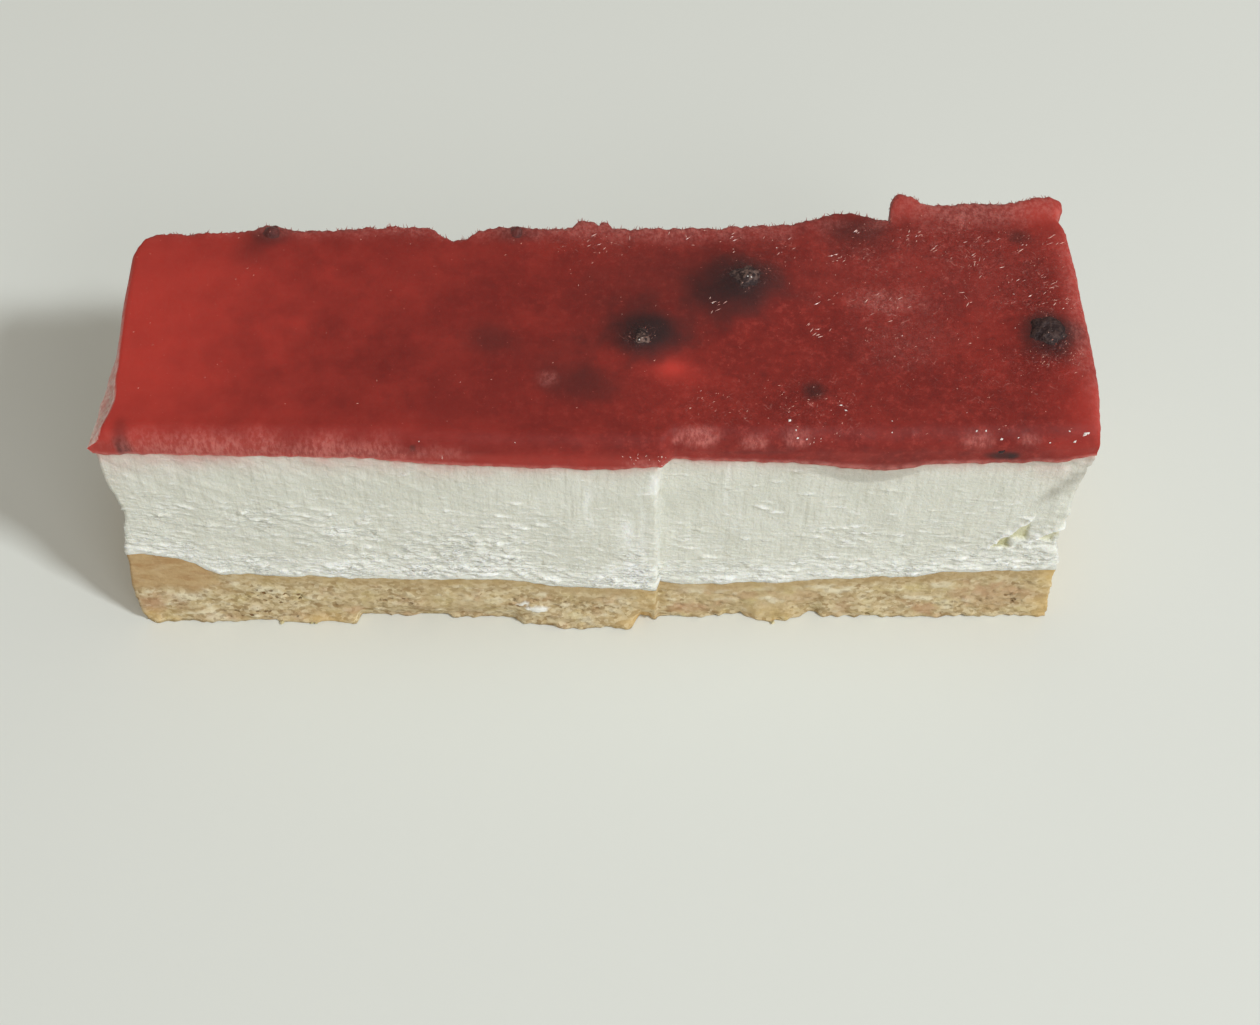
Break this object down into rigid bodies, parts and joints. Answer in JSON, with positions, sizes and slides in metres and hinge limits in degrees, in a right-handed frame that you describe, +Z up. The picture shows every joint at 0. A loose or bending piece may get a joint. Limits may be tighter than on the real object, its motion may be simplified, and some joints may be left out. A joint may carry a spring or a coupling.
{
  "type": "cheesecake slice",
  "caption": "Cut bar of layered cheesecake: a pressed crumb base, a set cream filling and a clear red berry jelly with berries breaking its top and edges.",
  "frame": {"origin": "middle of the flat underside of the crumb base, half-way along the bar and half-way between its front and back cuts", "axes": "+X along the bar to the right as seen from the front cut, +Y from the front cut to the back, +Z up"},
  "size_m": [0.1418, 0.0478, 0.0496],
  "materials": {
    "crumb": "matte, granular",
    "cream": "soft satin",
    "jelly": "wet satin, clear to the eye near its edges",
    "dark_berry": "wet skin",
    "red_berry": "wet skin"
  },
  "bodies": {
    "root": {"crumb_base": "crumb", "cream_filling": "cream", "berry_jelly": "jelly", "berry_middle": "dark_berry", "berry_rear_middle": "dark_berry", "berry_right": "dark_berry", "berry_front_cut": "dark_berry", "berry_back_left": "dark_berry", "berry_back_middle": "dark_berry", "currant_front_left": "red_berry"}
  },
  "joints": []
}
